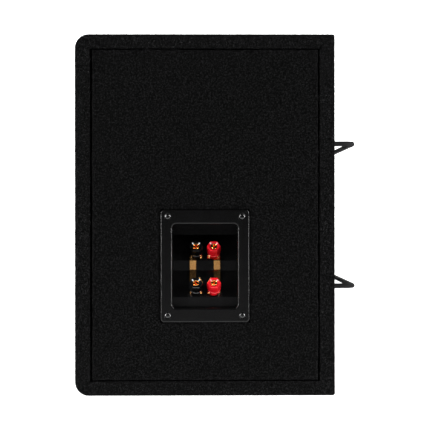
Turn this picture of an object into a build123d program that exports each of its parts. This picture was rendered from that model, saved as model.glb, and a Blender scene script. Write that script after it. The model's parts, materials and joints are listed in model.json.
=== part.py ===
"""A carpet-covered loudspeaker cabinet with one 12 inch woofer, two guard rods over it, and a recessed
cup of four binding posts, joined in pairs by links, in its left end.

Millimetres. +Z is up, the woofer faces -Y, and the terminal cup is in the -X end.
The origin is the centre of the cabinet's underside.
"""

from math import atan2, cos, radians, sin, tan
import os

from build123d import *

os.makedirs("parts", exist_ok=True)

# ---------------------------------------------------------------- driving dimensions
cabinet_width = 394.0
cabinet_depth = 274.0
cabinet_height = 381.0
carpet = 2.75
panel = 15.0
baffle = 18.0
rear_edge_radius = 13.3
fold_radius = 2.5

seam_inset_depth = 16.4
seam_inset_height = 15.4
seam_width = 1.6

cup_height = 136.8
cup_flange = (94.0, 119.0)
cup_screws_apart = (78.4, 104.0)
post_tilt = 34.0
post_spacing = 19.05
row_spacing = 38.1

woofer_cutout = 141.0
woofer_flange_radius = 156.0
woofer_rebate = 3.0
woofer_screw_circle = 148.0
guard_rod_height = 79.6
guard_leg_reach = 113.0
guard_standoff = 29.3
guard_rod_radius = 2.8

fit = 0.05  # radial clearance of a shaft in its hole

# ---------------------------------------------------------------- derived places
half_width = cabinet_width / 2
half_depth = cabinet_depth / 2
wood_half_width = half_width - carpet
wood_half_depth = half_depth - carpet
wood_top = cabinet_height - carpet
inner_back = wood_half_depth - panel
inner_front = -wood_half_depth + baffle
woofer_height = cabinet_height / 2


def write(piece, label):
    """Labels a finished sub-part and writes its STEP file."""
    piece.part.label = label
    export_step(piece.part, f"parts/{label}.step")


def tube_path(points):
    """A path of straight runs joined by arcs as large as the runs allow."""
    points = [Vector(p) for p in points]
    radii = []
    for before, here, after in zip(points, points[1:], points[2:]):
        turn = (here - before).get_angle(after - here)
        shorter = min((here - before).length, (after - here).length)
        radii.append(0.45 * shorter / tan(radians(turn) / 2))
    return FilletPolyline(*points, radius=radii)


# ================================================================ cabinet panels
with BuildPart() as top_panel:
    with BuildSketch(Plane.XY.offset(wood_top - panel)):
        with Locations((0, (inner_front + wood_half_depth) / 2)):
            Rectangle(2 * wood_half_width, wood_half_depth - inner_front)
    extrude(amount=panel)
    back_edge = top_panel.edges().filter_by(Axis.X).group_by(Axis.Y)[-1].sort_by(Axis.Z)[-1]
    fillet(back_edge, rear_edge_radius - carpet)
write(top_panel, "top_panel")

with BuildPart() as bottom_panel:
    with BuildSketch(Plane.XY.offset(carpet)):
        with Locations((0, (inner_front + wood_half_depth) / 2)):
            Rectangle(2 * wood_half_width, wood_half_depth - inner_front)
    extrude(amount=panel)
    back_edge = bottom_panel.edges().filter_by(Axis.X).group_by(Axis.Y)[-1].sort_by(Axis.Z)[0]
    fillet(back_edge, rear_edge_radius - carpet)
write(bottom_panel, "bottom_panel")

inner_bottom = carpet + panel
inner_top = wood_top - panel
inner_height = inner_top - inner_bottom

with BuildPart() as back_panel:
    with BuildSketch(Plane.XY.offset(inner_bottom)):
        with Locations((0, inner_back + panel / 2)):
            Rectangle(2 * wood_half_width, panel)
    extrude(amount=inner_height)
write(back_panel, "back_panel")

# Planes of the woofer: one seen face on, one through its axis (radius across, outward up).
woofer_origin = (0, -half_depth, woofer_height)
woofer_face = Plane(origin=woofer_origin, x_dir=(1, 0, 0), z_dir=(0, -1, 0))
woofer_section = Plane(origin=woofer_origin, x_dir=(1, 0, 0), z_dir=(0, 0, -1))
woofer_axis = Axis(woofer_origin, (0, -1, 0))
woofer_screw_count = 6
woofer_screw_first = 30.0
screw_shank = 2.4

with BuildPart() as front_baffle:
    with BuildSketch(woofer_face.offset(-carpet)):
        Rectangle(2 * wood_half_width, wood_top - carpet)
        Circle(woofer_cutout, mode=Mode.SUBTRACT)
        with PolarLocations(woofer_screw_circle, woofer_screw_count, woofer_screw_first):
            Circle(screw_shank + fit, mode=Mode.SUBTRACT)
    extrude(amount=-baffle)
    with BuildSketch(woofer_face.offset(-carpet)):
        Circle(woofer_flange_radius + 1)
    extrude(amount=-woofer_rebate, mode=Mode.SUBTRACT)
write(front_baffle, "front_baffle")

# Planes of the terminal cup: face on (u right, v up), and its section (w outward, v up).
cup_origin = (-half_width, 0, cup_height)
cup_face = Plane(origin=cup_origin, x_dir=(0, -1, 0), z_dir=(-1, 0, 0))
cup_section = Plane(origin=cup_origin, x_dir=(-1, 0, 0), z_dir=(0, 1, 0))
cup_wall = 2.5
cup_cavity = (68.4, 87.8)
cup_cutout = (77.0, 97.0)
cup_screw_shank = 1.9
end_depth = inner_back - inner_front

with BuildPart() as left_end_panel:
    with BuildSketch(Plane.XY.offset(inner_bottom)):
        with Locations((-wood_half_width + panel / 2, (inner_back + inner_front) / 2)):
            Rectangle(panel, end_depth)
    extrude(amount=inner_height)
    with BuildSketch(cup_face.offset(-carpet)):
        RectangleRounded(*cup_cutout, 4)
        with GridLocations(*cup_screws_apart, 2, 2):
            Circle(cup_screw_shank + fit)
    extrude(amount=-panel, mode=Mode.SUBTRACT)
write(left_end_panel, "left_end_panel")

with BuildPart() as right_end_panel:
    with BuildSketch(Plane.XY.offset(inner_bottom)):
        with Locations((wood_half_width - panel / 2, (inner_back + inner_front) / 2)):
            Rectangle(panel, end_depth)
    extrude(amount=inner_height)
write(right_end_panel, "right_end_panel")

# ================================================================ carpet
seam_depth = cabinet_depth - 2 * seam_inset_depth
seam_height = cabinet_height - 2 * seam_inset_height

with BuildPart() as carpet_wrap:
    with BuildSketch(Plane.XY):
        Rectangle(cabinet_width, cabinet_depth)
    extrude(amount=cabinet_height)
    rear_edges = carpet_wrap.edges().filter_by(Axis.X).group_by(Axis.Y)[-1]
    fillet(rear_edges, rear_edge_radius)
    end_faces = carpet_wrap.faces().filter_by(Axis.X)
    front_face = carpet_wrap.faces().filter_by(Axis.Y).sort_by(Axis.Y)[0]
    fillet(end_faces.edges() + front_face.edges().filter_by(Axis.X), fold_radius)
    with BuildSketch(Plane.YZ.offset(-wood_half_width)):
        with Locations((0, cabinet_height / 2)):
            Rectangle(2 * wood_half_depth, wood_top - carpet)
        fillet(vertices().group_by(Axis.X)[-1], rear_edge_radius - carpet)
    extrude(amount=2 * wood_half_width, mode=Mode.SUBTRACT)
    with BuildSketch(Plane.YZ.offset(-half_width)):
        with Locations((0, cabinet_height / 2)):
            Rectangle(seam_depth + seam_width, seam_height + seam_width)
    extrude(amount=cabinet_width, mode=Mode.SUBTRACT)
    with BuildSketch(woofer_face):
        Circle(woofer_flange_radius + 1)
    extrude(amount=-2 * carpet, mode=Mode.SUBTRACT)
write(carpet_wrap, "carpet_wrap")

with BuildPart() as carpet_left_end:
    with BuildSketch(cup_face.offset(-carpet)):
        with Locations((0, woofer_height - cup_height)):
            RectangleRounded(seam_depth - seam_width, seam_height - seam_width, 1.5)
        RectangleRounded(cup_flange[0] + 2, cup_flange[1] + 2, 5, mode=Mode.SUBTRACT)
    extrude(amount=carpet)
    rim = carpet_left_end.faces().sort_by(Axis.X)[0].outer_wire().edges()
    fillet(rim, 1.0)
write(carpet_left_end, "carpet_left_end")

with BuildPart() as carpet_right_end:
    with BuildSketch(Plane.YZ.offset(wood_half_width)):
        with Locations((0, woofer_height)):
            RectangleRounded(seam_depth - seam_width, seam_height - seam_width, 1.5)
    extrude(amount=carpet)
    fillet(carpet_right_end.faces().sort_by(Axis.X)[-1].edges(), 1.0)
write(carpet_right_end, "carpet_right_end")

# ================================================================ terminal cup
# The floor of the cup is two steps. Each step is a facet tilted up by post_tilt over a riser.
tilt = radians(post_tilt)
facet_drop = 27.5
facet_in = facet_drop * tan(tilt)
lower_edge_w = -10.0
lower_edge_v = -33.5
upper_edge_w = lower_edge_w - facet_in
upper_edge_v = lower_edge_v + row_spacing
gasket_thickness = 1.0
flange_back = gasket_thickness - carpet
flange_front = flange_back + 4.5
cavity_half = cup_cavity[1] / 2
step_outline = [
    (flange_front, cavity_half),
    (upper_edge_w - facet_in, cavity_half),
    (upper_edge_w - facet_in, upper_edge_v + facet_drop),
    (upper_edge_w, upper_edge_v),
    (upper_edge_w, lower_edge_v + facet_drop),
    (lower_edge_w, lower_edge_v),
    (lower_edge_w, -cavity_half),
    (flange_front, -cavity_half),
]

post_from_edge = 8.5  # from a facet's lower edge, along the facet
shank_radius = 4.0
POSTS = {
    "lower_black": (-1, 0),
    "lower_red": (1, 0),
    "upper_black": (-1, 1),
    "upper_red": (1, 1),
}


def post_plane(side, level):
    """Where a post stands: x is right, y runs up the facet, z is outward along the post.

    side is -1 for the negative posts, left of the cup's centre, and 1 for the positive ones."""
    edge_w, edge_v = ((lower_edge_w, lower_edge_v), (upper_edge_w, upper_edge_v))[level]
    w = edge_w - post_from_edge * sin(tilt)
    v = edge_v + post_from_edge * cos(tilt)
    origin = (-half_width - w, -side * post_spacing / 2, cup_height + v)
    return Plane(origin=origin, x_dir=(0, -1, 0), z_dir=(-cos(tilt), 0, sin(tilt)))


def section_of(plane):
    """The plane through a post's axis: x is still right and y is outward along the post."""
    return Plane(origin=plane.origin, x_dir=plane.x_dir, z_dir=-plane.y_dir)


with BuildPart() as cup_hollow:
    with BuildSketch(cup_section):
        with BuildLine():
            Polyline(*step_outline, close=True)
        make_face()
    extrude(amount=cup_cavity[0] / 2, both=True)
    fillet(cup_hollow.faces().filter_by(Axis.Z).edges().filter_by(Axis.X), 4)

with BuildPart() as terminal_cup:
    with BuildSketch(cup_face.offset(flange_back)):
        RectangleRounded(*cup_flange, 4)
    extrude(amount=flange_front - flange_back)
    fillet(terminal_cup.faces().sort_by(Axis.X)[0].edges(), 1.8)
    with BuildSketch(cup_section):
        with BuildLine():
            Polyline(*step_outline, close=True)
        make_face()
        offset(amount=cup_wall, kind=Kind.INTERSECTION)
        with Locations((flange_back + cup_flange[1] / 2, 0)):
            Rectangle(cup_flange[1], 2 * cup_flange[1], mode=Mode.SUBTRACT)
    extrude(amount=cup_cavity[0] / 2 + cup_wall, both=True)
    add(cup_hollow.part, mode=Mode.SUBTRACT)
    fillet(terminal_cup.faces().sort_by(Axis.X)[0].inner_wires()[0].edges(), 2.1)
    with Locations(cup_face.offset(flange_front)):
        with GridLocations(*cup_screws_apart, 2, 2):
            CounterSinkHole(cup_screw_shank + 0.3, 3.85, counter_sink_angle=90)
    for side, level in POSTS.values():
        with BuildSketch(post_plane(side, level)):
            Circle(shank_radius + fit)
        extrude(amount=-2 * cup_wall, mode=Mode.SUBTRACT)
    # Polarity pips on the lowest riser: two for positive, one for negative.
    with BuildSketch(cup_face.offset(lower_edge_w)):
        with Locations((9.2, -37.4), (9.2, -40.4), (-9.8, -38.2)):
            Circle(0.55)
    extrude(amount=0.4)
write(terminal_cup, "terminal_cup")

with BuildPart() as terminal_gasket:
    with BuildSketch(cup_face.offset(-carpet)):
        RectangleRounded(*cup_flange, 4)
        Rectangle(*cup_cutout, mode=Mode.SUBTRACT)
        with GridLocations(*cup_screws_apart, 2, 2):
            Circle(cup_screw_shank + 0.3, mode=Mode.SUBTRACT)
    extrude(amount=gasket_thickness)
write(terminal_gasket, "terminal_gasket")

# Raised countersunk heads: a cone below the rim and a shallow dome above it, with a cross recess.
with BuildPart() as terminal_screws:
    cup_head_radius = 2.9
    cup_head_rise = 0.9
    rim_level = flange_front - cup_head_rise
    head_drop = cup_head_radius - cup_screw_shank
    for right in (-1, 1):
        for up in (-1, 1):
            spot = Vector(right * cup_screws_apart[0] / 2, up * cup_screws_apart[1] / 2, 0)
            spot = cup_face.from_local_coords(spot)
            with BuildSketch(Plane(origin=spot, x_dir=(0, -1, 0), z_dir=(0, 0, -1))):
                with BuildLine():
                    dome = ThreePointArc(
                        (0, flange_front),
                        (cup_head_radius / 2, flange_front - cup_head_rise / 4),
                        (cup_head_radius, rim_level),
                    )
                    Polyline(
                        dome @ 1,
                        (cup_screw_shank, rim_level - head_drop),
                        (cup_screw_shank, rim_level - 16),
                        (0, rim_level - 16),
                        dome @ 0,
                    )
                make_face()
            revolve(axis=Axis(spot, (-1, 0, 0)))
    with BuildSketch(cup_face.offset(flange_front)):
        with GridLocations(*cup_screws_apart, 2, 2):
            Rectangle(3.2, 0.7)
            Rectangle(0.7, 3.2)
    extrude(amount=-1.6, mode=Mode.SUBTRACT)
write(terminal_screws, "terminal_screws")

# ================================================================ binding posts
# Heights along a post, from its facet outward.
bush_top = 1.2
jumper_thickness = 1.0
seat_gap = 0.05
washer_bottom = bush_top + jumper_thickness + 2 * seat_gap
washer_thickness = 0.8
cap_bottom = washer_bottom + washer_thickness
collar_top = cap_bottom + 2.4
cap_top = 15.8
stud_top = 15.0
stud_bottom = -12.5
stud_radius = 2.8
tail_radius = 2.0
socket_radius = 2.0
socket_depth = 12.0
insert_radius = 3.6
dish_radius = 5.6
dish_depth = 0.8
ring_chamfer = 0.35
thread_fit = 0.03

insulator_top = -cup_wall
lug_top = insulator_top - 1.5
lug_thickness = 0.8
nut_top = lug_top - lug_thickness
nut_height = 3.0
blade_width = 4.8
blade_offset = 5.4
blade_end = lug_top - 11.0

for name, (side, level) in POSTS.items():
    base = post_plane(side, level)
    section = section_of(base)
    post_axis = Axis(base.origin, base.z_dir)

    with BuildPart() as stud:
        with BuildSketch(section):
            with BuildLine():
                Polyline(
                    (0, stud_bottom),
                    (tail_radius, stud_bottom),
                    (tail_radius, bush_top),
                    (stud_radius, bush_top),
                    (stud_radius, stud_top - ring_chamfer),
                    (stud_radius - ring_chamfer, stud_top),
                    (socket_radius, stud_top),
                    (socket_radius, stud_top - socket_depth),
                    (0, stud_top - socket_depth),
                    close=True,
                )
            make_face()
        revolve(axis=post_axis)
        with BuildSketch(section):
            with Locations((0, cap_bottom + 1.6)):
                Circle(1.2)
        extrude(amount=stud_radius, both=True, mode=Mode.SUBTRACT)
    write(stud, f"{name}_post_stud")

    with BuildPart() as washer:
        with BuildSketch(base.offset(washer_bottom)):
            Circle(6.2)
            Circle(stud_radius + fit, mode=Mode.SUBTRACT)
        extrude(amount=washer_thickness)
    write(washer, f"{name}_clamp_washer")

    with BuildPart() as insert:
        with BuildSketch(base.offset(cap_bottom + 0.6)):
            Circle(insert_radius)
            Circle(stud_radius + thread_fit, mode=Mode.SUBTRACT)
        extrude(amount=cap_top - dish_depth - cap_bottom - 0.6)
        chamfer(insert.faces().sort_by(post_axis)[-1].inner_wires()[0].edges(), ring_chamfer)
    write(insert, f"{name}_cap_insert")

    with BuildPart() as cap:
        with BuildSketch(base.offset(cap_bottom)):
            Circle(7.0)
        extrude(amount=collar_top - cap_bottom)
        chamfer(cap.faces().sort_by(post_axis)[-1].edges(), 0.5)
        with BuildSketch(base.offset(collar_top)):
            Circle(5.9)
        extrude(amount=0.8)
        with BuildSketch(base.offset(collar_top + 0.8)):
            RegularPolygon(7.3, 6)
        extrude(amount=cap_top - collar_top - 0.8)
        chamfer(cap.faces().sort_by(post_axis)[-1].edges(), 0.5)
        with BuildSketch(base.offset(cap_bottom)):
            Circle(insert_radius)
        extrude(amount=cap_top, mode=Mode.SUBTRACT)
        # The outer face is dished down to the insert.
        with BuildSketch(section):
            with BuildLine():
                Polyline(
                    (0, cap_top),
                    (dish_radius, cap_top),
                    (insert_radius, cap_top - dish_depth),
                    (0, cap_top - dish_depth),
                    close=True,
                )
            make_face()
        revolve(axis=post_axis, mode=Mode.SUBTRACT)
    write(cap, f"{name}_post_cap")

for colour in ("black", "red"):
    with BuildPart() as bushes:
        for name, (side, level) in POSTS.items():
            if name.endswith(colour):
                base = post_plane(side, level)
                with BuildSketch(base):
                    Circle(6.6)
                    Circle(tail_radius + fit, mode=Mode.SUBTRACT)
                extrude(amount=bush_top)
                with BuildSketch(base):
                    Circle(shank_radius)
                    Circle(tail_radius + fit, mode=Mode.SUBTRACT)
                extrude(amount=0.2 - cup_wall)
    write(bushes, f"{colour}_post_bushes")

with BuildPart() as rear_insulators:
    for side, level in POSTS.values():
        with BuildSketch(post_plane(side, level).offset(insulator_top)):
            Circle(6.5)
            Circle(tail_radius + fit, mode=Mode.SUBTRACT)
        extrude(amount=lug_top - insulator_top)
write(rear_insulators, "rear_insulators")

# A ring under the nut with a blade bent down beside it, on the side away from the cup's centre.
with BuildPart() as solder_lugs:
    for side, level in POSTS.values():
        base = post_plane(side, level)
        with BuildSketch(base.offset(lug_top)):
            Circle(4.4)
            with Locations((side * blade_offset / 2, 0)):
                Rectangle(blade_offset + lug_thickness, blade_width)
            Circle(tail_radius + fit, mode=Mode.SUBTRACT)
        extrude(amount=-lug_thickness)
        with BuildSketch(base.offset(lug_top)):
            with Locations((side * blade_offset, 0)):
                Rectangle(lug_thickness, blade_width)
        extrude(amount=blade_end - lug_top)
write(solder_lugs, "solder_lugs")

with BuildPart() as post_nuts:
    for side, level in POSTS.values():
        with BuildSketch(post_plane(side, level).offset(nut_top)):
            RegularPolygon(3.5, 6, major_radius=False)
            Circle(tail_radius + thread_fit, mode=Mode.SUBTRACT)
        extrude(amount=-nut_height)
write(post_nuts, "post_nuts")

# ---------------------------------------------------------------- jumper links
# A gold strip follows a facet, the riser and the next facet, with a slotted arm at each post.
link_lift = bush_top + seat_gap + jumper_thickness / 2
link_outer = 16.3
link_inner = 9.6
arm_inner = 2.4
arm_half = 5.6
slot_radius = stud_radius + 0.15
bend = 1.6


def on_facet(edge_w, edge_v, along, lift):
    """A point in cup_section above a facet: along is up the facet from its lower edge."""
    return (
        edge_w - along * sin(tilt) + lift * cos(tilt),
        edge_v + along * cos(tilt) + lift * sin(tilt),
    )


riser_lift = upper_edge_w + link_lift
corner_rise = link_lift * tan(tilt / 2)
link_path = [
    on_facet(upper_edge_w, upper_edge_v, post_from_edge + arm_half, link_lift),
    (riser_lift, upper_edge_v + corner_rise),
    (riser_lift, lower_edge_v + facet_drop + corner_rise),
    on_facet(lower_edge_w, lower_edge_v, post_from_edge - arm_half, link_lift),
]

for colour, side in (("black", -1), ("red", 1)):
    with BuildPart() as link:
        with BuildSketch(cup_section):
            with BuildLine():
                FilletPolyline(*link_path, radius=bend)
            trace(line_width=jumper_thickness)
        extrude(amount=link_outer, both=True)
        # Keep one side only, then open the strip between the two arms.
        inner = Plane(origin=(-half_width, -side * arm_inner, 0), z_dir=(0, -side, 0))
        split(bisect_by=inner, keep=Keep.TOP)
        between = [post_plane(side, level) for level in (0, 1)]
        lower, upper = (cup_face.to_local_coords(plane.origin).Y for plane in between)
        rise = arm_half * cos(tilt)
        with BuildSketch(cup_face):
            with Locations((0, (lower + upper) / 2)):
                Rectangle(2 * link_inner, upper - lower - 2 * rise)
        extrude(amount=-half_width / 2, mode=Mode.SUBTRACT)
        for plane in between:
            with BuildSketch(plane.offset(bush_top)):
                Circle(slot_radius)
                with Locations((-side * post_spacing / 4, 0)):
                    Rectangle(post_spacing / 2, 2 * slot_radius)
            extrude(amount=washer_bottom - bush_top, mode=Mode.SUBTRACT)
        outer_tips = link.edges().filter_by(lambda e: abs(e.length - jumper_thickness) < 0.01)
        outer_tips = outer_tips.filter_by(lambda e: abs(abs(e.center().Y) - link_outer) < 0.01)
        chamfer(outer_tips, 2.0)
    write(link, f"{colour}_jumper")

# ================================================================ woofer
# Section points are (radius, outward) from woofer_origin; outward 0 is the face of the carpet.
seat = -carpet - woofer_rebate
gasket_top = seat + 1.5
frame_gauge = 2.0
flange_top = gasket_top + frame_gauge
frame_wall_radius = 135.0
shelf_out = -60.0
shelf_edge = 92.0
shelf_wall_radius = 76.0
plate_seat = -85.0
plate_radius = 72.0
top_plate_back = plate_seat - 8
magnet_back = top_plate_back - 25
back_plate_back = magnet_back - 8
magnet_outer = 78.0
magnet_inner = 42.0
pole_radius = 30.9
vent_radius = 8.0
former_inner = 31.6
former_outer = 32.0
coil_layer = 0.6
coil_middle = plate_seat - 4
coil_half = 12.0
cone_radius = 110.0
roll_outer = 132.0
neck_radius = former_outer + 0.6
neck_out = -50.0
spoke_width = 24.0
trim_top = flange_top + 4.0
tab_thickness = 2.0
surround_line = flange_top + 0.5
roll_height = 9.0


with BuildPart() as woofer_gasket:
    with BuildSketch(woofer_face.offset(seat)):
        Circle(woofer_flange_radius)
        Circle(woofer_cutout, mode=Mode.SUBTRACT)
    extrude(amount=gasket_top - seat)
    with Locations(woofer_face.offset(trim_top)):
        with PolarLocations(woofer_screw_circle, woofer_screw_count, woofer_screw_first):
            Hole(screw_shank + fit, depth=20)
write(woofer_gasket, "woofer_gasket")

with BuildPart() as basket:
    with BuildSketch(woofer_section):
        with BuildLine():
            FilletPolyline(
                (woofer_flange_radius, gasket_top + frame_gauge / 2),
                (frame_wall_radius, gasket_top + frame_gauge / 2),
                (frame_wall_radius, -14),
                (shelf_edge, shelf_out),
                (shelf_wall_radius, shelf_out),
                (shelf_wall_radius, plate_seat + frame_gauge / 2),
                (38, plate_seat + frame_gauge / 2),
                radius=2.5,
            )
        trace(line_width=frame_gauge)
    revolve(axis=woofer_axis)
    with BuildSketch(woofer_face.offset(-8)):
        Circle(frame_wall_radius - 5)
        Circle(shelf_edge + 5, mode=Mode.SUBTRACT)
        with PolarLocations(frame_wall_radius / 2, woofer_screw_count, 0):
            Rectangle(frame_wall_radius, spoke_width, mode=Mode.SUBTRACT)
    extrude(amount=shelf_out, mode=Mode.SUBTRACT)
    with Locations(woofer_face.offset(trim_top)):
        with PolarLocations(woofer_screw_circle, woofer_screw_count, woofer_screw_first):
            Hole(screw_shank + fit, depth=20)
write(basket, "basket")

with BuildPart() as trim_ring:
    with BuildSketch(woofer_section):
        with BuildLine():
            Polyline(
                (139, flange_top + 1.0),
                (146.5, flange_top + 1.0),
                (146.5, flange_top),
                (woofer_flange_radius, flange_top),
                (woofer_flange_radius, trim_top - 0.8),
                (woofer_flange_radius - 2, trim_top),
                (141, trim_top),
                (139, trim_top - 1.5),
                close=True,
            )
        make_face()
    revolve(axis=woofer_axis)
    with Locations(woofer_face.offset(trim_top)):
        with PolarLocations(woofer_screw_circle, woofer_screw_count, woofer_screw_first):
            Hole(screw_shank + fit, depth=20)
write(trim_ring, "trim_ring")

with BuildPart() as surround:
    with BuildSketch(woofer_section):
        with BuildLine():
            outer_lip = Line((144, surround_line), (roll_outer, surround_line))
            roll = ThreePointArc(
                outer_lip @ 1,
                ((roll_outer + cone_radius) / 2, surround_line + roll_height),
                (cone_radius, surround_line),
            )
            Line(roll @ 1, (104, surround_line))
        trace(line_width=1.0)
    revolve(axis=woofer_axis)
write(surround, "surround")

with BuildPart() as cone:
    cone_edge = surround_line - 1.1
    with BuildSketch(woofer_section):
        with BuildLine():
            FilletPolyline(
                (neck_radius, neck_out - 6),
                (neck_radius, neck_out),
                (103, cone_edge),
                (cone_radius, cone_edge),
                radius=3,
            )
        trace(line_width=1.2)
    revolve(axis=woofer_axis)
write(cone, "cone")

dome_radius = 82.0
dome_centre = -110.0
dome_half_angle = 32.7
with BuildPart() as dust_cap:
    with BuildSketch(woofer_section):
        with BuildLine():
            CenterArc(
                center=(0, dome_centre),
                radius=dome_radius,
                start_angle=90,
                arc_size=-dome_half_angle,
            )
        trace(line_width=0.8)
    revolve(axis=woofer_axis)
write(dust_cap, "dust_cap")

with BuildPart() as voice_coil_former:
    with BuildSketch(woofer_face.offset(coil_middle - coil_half - 1)):
        Circle(former_outer)
        Circle(former_inner, mode=Mode.SUBTRACT)
    extrude(amount=neck_out - coil_middle + coil_half + 1)
write(voice_coil_former, "voice_coil_former")

for number in (1, 2):
    with BuildPart() as coil:
        inner_radius = former_outer + (number - 1) * coil_layer
        outer_radius = inner_radius + coil_layer
        with BuildSketch(woofer_face.offset(coil_middle - coil_half)):
            Circle(outer_radius)
            Circle(inner_radius, mode=Mode.SUBTRACT)
        extrude(amount=2 * coil_half)
    write(coil, f"voice_coil_{number}")

with BuildPart() as spider:
    spider_out = shelf_out + frame_gauge / 2 + 0.4
    wave_count = 6
    wave_start = 38.0
    wave_chord = 6.0
    with BuildSketch(woofer_section):
        with BuildLine():
            Line((former_outer + fit, spider_out), (wave_start, spider_out))
            for wave in range(wave_count):
                left = wave_start + wave * wave_chord
                crest = 1.6 if wave % 2 else -1.6
                ThreePointArc(
                    (left, spider_out),
                    (left + wave_chord / 2, spider_out + crest),
                    (left + wave_chord, spider_out),
                )
            wave_end = wave_start + wave_count * wave_chord
            Line((wave_end, spider_out), (shelf_edge - 4, spider_out))
        trace(line_width=0.8)
    revolve(axis=woofer_axis)
write(spider, "spider")

with BuildPart() as front_plate:
    with BuildSketch(woofer_face.offset(top_plate_back)):
        Circle(plate_radius)
        Circle(former_outer + 2 * coil_layer + 0.7, mode=Mode.SUBTRACT)
    extrude(amount=plate_seat - top_plate_back)
write(front_plate, "front_plate")

with BuildPart() as magnet:
    with BuildSketch(woofer_face.offset(magnet_back)):
        Circle(magnet_outer)
        Circle(magnet_inner, mode=Mode.SUBTRACT)
    extrude(amount=top_plate_back - magnet_back)
write(magnet, "magnet")

with BuildPart() as back_plate:
    with BuildSketch(woofer_face.offset(back_plate_back)):
        Circle(plate_radius)
        Circle(vent_radius, mode=Mode.SUBTRACT)
    extrude(amount=magnet_back - back_plate_back)
    with BuildSketch(woofer_face.offset(magnet_back)):
        Circle(pole_radius)
        Circle(vent_radius, mode=Mode.SUBTRACT)
    extrude(amount=plate_seat + 1 - magnet_back)
    chamfer(back_plate.faces().sort_by(woofer_axis)[0].outer_wire().edges(), 1.5)
write(back_plate, "back_plate")

# The terminal board lies on the outside of the basket's left spoke, square to the spoke's slope.
spoke_run = Vector(frame_wall_radius - shelf_edge, -14 - shelf_out)
spoke_slope = atan2(spoke_run.Y, spoke_run.X)
board_radius = (frame_wall_radius + shelf_edge) / 2
board_out = (shelf_out - 14) / 2
board_normal = Vector(-sin(spoke_slope), cos(spoke_slope), 0)
board_thickness = 2.0
board_centre = Vector(-board_radius, -half_depth - board_out, woofer_height)
board_back = Plane(
    origin=board_centre + board_normal * (frame_gauge / 2),
    x_dir=(0, 0, 1),
    z_dir=board_normal,
)
blade_spread = (-21.0, -7.0, 7.0, 21.0)
blade_length = 10.0

with BuildPart() as terminal_board:
    with BuildSketch(board_back):
        RectangleRounded(58, 16, 2)
    extrude(amount=board_thickness)
write(terminal_board, "terminal_board")

with BuildPart() as woofer_blades:
    with BuildSketch(board_back.offset(board_thickness)):
        for spread in blade_spread:
            with Locations((spread, 0)):
                Rectangle(7, 6)
    extrude(amount=lug_thickness)
    with BuildSketch(board_back.offset(board_thickness)):
        for spread in blade_spread:
            with Locations((spread, 0)):
                Rectangle(blade_width, lug_thickness)
    extrude(amount=blade_length)
write(woofer_blades, "woofer_blades")

# ---------------------------------------------------------------- leads and connectors
connector_length = 14.0
connector_grip = 6.0
lead_radius = 1.5
# Each lead's place on the terminal board, and the point its slack hangs through.
LEADS = {
    "lower_red": (blade_spread[0], Vector(-115, -8, 96)),
    "lower_black": (blade_spread[1], Vector(-109, 41, 98)),
    "upper_red": (blade_spread[2], Vector(-103, -38, 162)),
    "upper_black": (blade_spread[3], Vector(-104, 10, 165)),
}


def post_blade(name):
    """The plane across the tip of a post's blade, facing along the blade, away from the cup."""
    side, level = POSTS[name]
    base = post_plane(side, level)
    tip = base.from_local_coords(Vector(side * blade_offset, 0, blade_end))
    return Plane(origin=tip, x_dir=base.y_dir, z_dir=-base.z_dir)


def woofer_blade(name):
    """The plane across the tip of a woofer blade, facing along the blade, away from the board."""
    spread = LEADS[name][0]
    tip = board_back.from_local_coords(Vector(spread, 0, board_thickness + blade_length))
    return Plane(origin=tip, x_dir=board_back.x_dir, z_dir=board_back.z_dir)


with BuildPart() as lead_connectors:
    for plane in [post_blade(name) for name in LEADS] + [woofer_blade(name) for name in LEADS]:
        with BuildSketch(plane.offset(-connector_grip)):
            RectangleRounded(blade_width + 2, 3.4, 0.8)
        extrude(amount=connector_length)
        with BuildSketch(plane.offset(-connector_grip)):
            Rectangle(blade_width + 2 * fit, lug_thickness + 2 * fit)
        extrude(amount=connector_grip + 0.3, mode=Mode.SUBTRACT)
        with BuildSketch(plane.offset(connector_length - connector_grip)):
            Circle(lead_radius + fit)
        extrude(amount=-connector_grip, mode=Mode.SUBTRACT)
write(lead_connectors, "lead_connectors")

lead_start = connector_length - 2 * connector_grip
for name, (spread, slack_point) in LEADS.items():
    start, finish = post_blade(name), woofer_blade(name)
    with BuildPart() as lead:
        route = [
            start.from_local_coords(Vector(0, 0, lead_start)),
            start.from_local_coords(Vector(0, 0, lead_start + 26)),
            slack_point,
            finish.from_local_coords(Vector(0, 0, lead_start + 30)),
            finish.from_local_coords(Vector(0, 0, lead_start)),
        ]
        with BuildLine():
            path = tube_path(route)
        with BuildSketch(Plane(origin=path @ 0, z_dir=path % 0)):
            Circle(lead_radius)
        sweep()
    write(lead, f"{name}_lead")

tinsel_radius = 0.7
with BuildPart() as tinsel_leads:
    for spread in blade_spread:
        across = 16.0 if abs(spread) < 10 else 24.0
        across = across if spread > 0 else -across
        route = [
            Vector(-board_radius + 1, -half_depth - board_out + 1.2, woofer_height + across),
            Vector(-92, -half_depth + 41, woofer_height + across),
            Vector(-62, -half_depth + 48, woofer_height + across * 0.8),
            Vector(-40, -half_depth + 50.5, woofer_height + across * 0.62),
            Vector(-33, -half_depth + 50.5, woofer_height + across * 0.55),
        ]
        with BuildLine():
            path = tube_path(route)
        with BuildSketch(Plane(origin=path @ 0, z_dir=path % 0)):
            Circle(tinsel_radius)
        sweep()
write(tinsel_leads, "tinsel_leads")

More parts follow.
